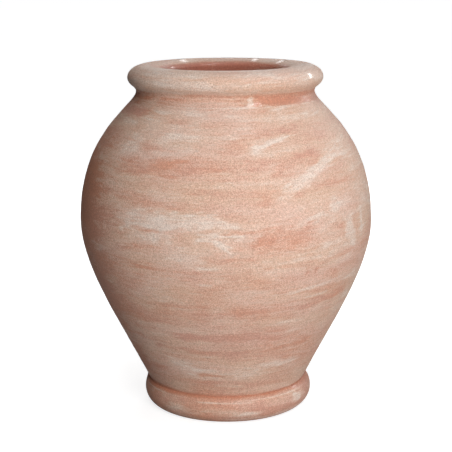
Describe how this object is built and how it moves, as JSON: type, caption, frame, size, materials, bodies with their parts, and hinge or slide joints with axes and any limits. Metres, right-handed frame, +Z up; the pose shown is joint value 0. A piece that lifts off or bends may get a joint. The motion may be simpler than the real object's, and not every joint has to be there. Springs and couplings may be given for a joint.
{
  "type": "amphora",
  "caption": "Handleless round-bellied terracotta jar with a thick rolled rim, short neck, ringed foot and drain hole, coil-built in luted courses under a streaked pale wash.",
  "frame": {"origin": "centre of the ground plane under the foot ring", "axes": "+Z up along the jar's axis of revolution; X and Y are level and equivalent, because the jar is round"},
  "size_m": [0.508, 0.508, 0.6],
  "materials": {
    "washed_terracotta": "satin",
    "bare_terracotta": "satin"
  },
  "bodies": {
    "root": {"base_disc": "bare_terracotta", "foot_ring": "bare_terracotta", "lower_wall_course": "washed_terracotta", "middle_wall_course": "washed_terracotta", "upper_wall_course": "washed_terracotta", "belly_course": "washed_terracotta", "upper_belly_course": "washed_terracotta", "lower_shoulder_course": "washed_terracotta", "middle_shoulder_course": "washed_terracotta", "upper_shoulder_course": "washed_terracotta", "neck_collar": "bare_terracotta", "rim_roll": "washed_terracotta"}
  },
  "joints": []
}
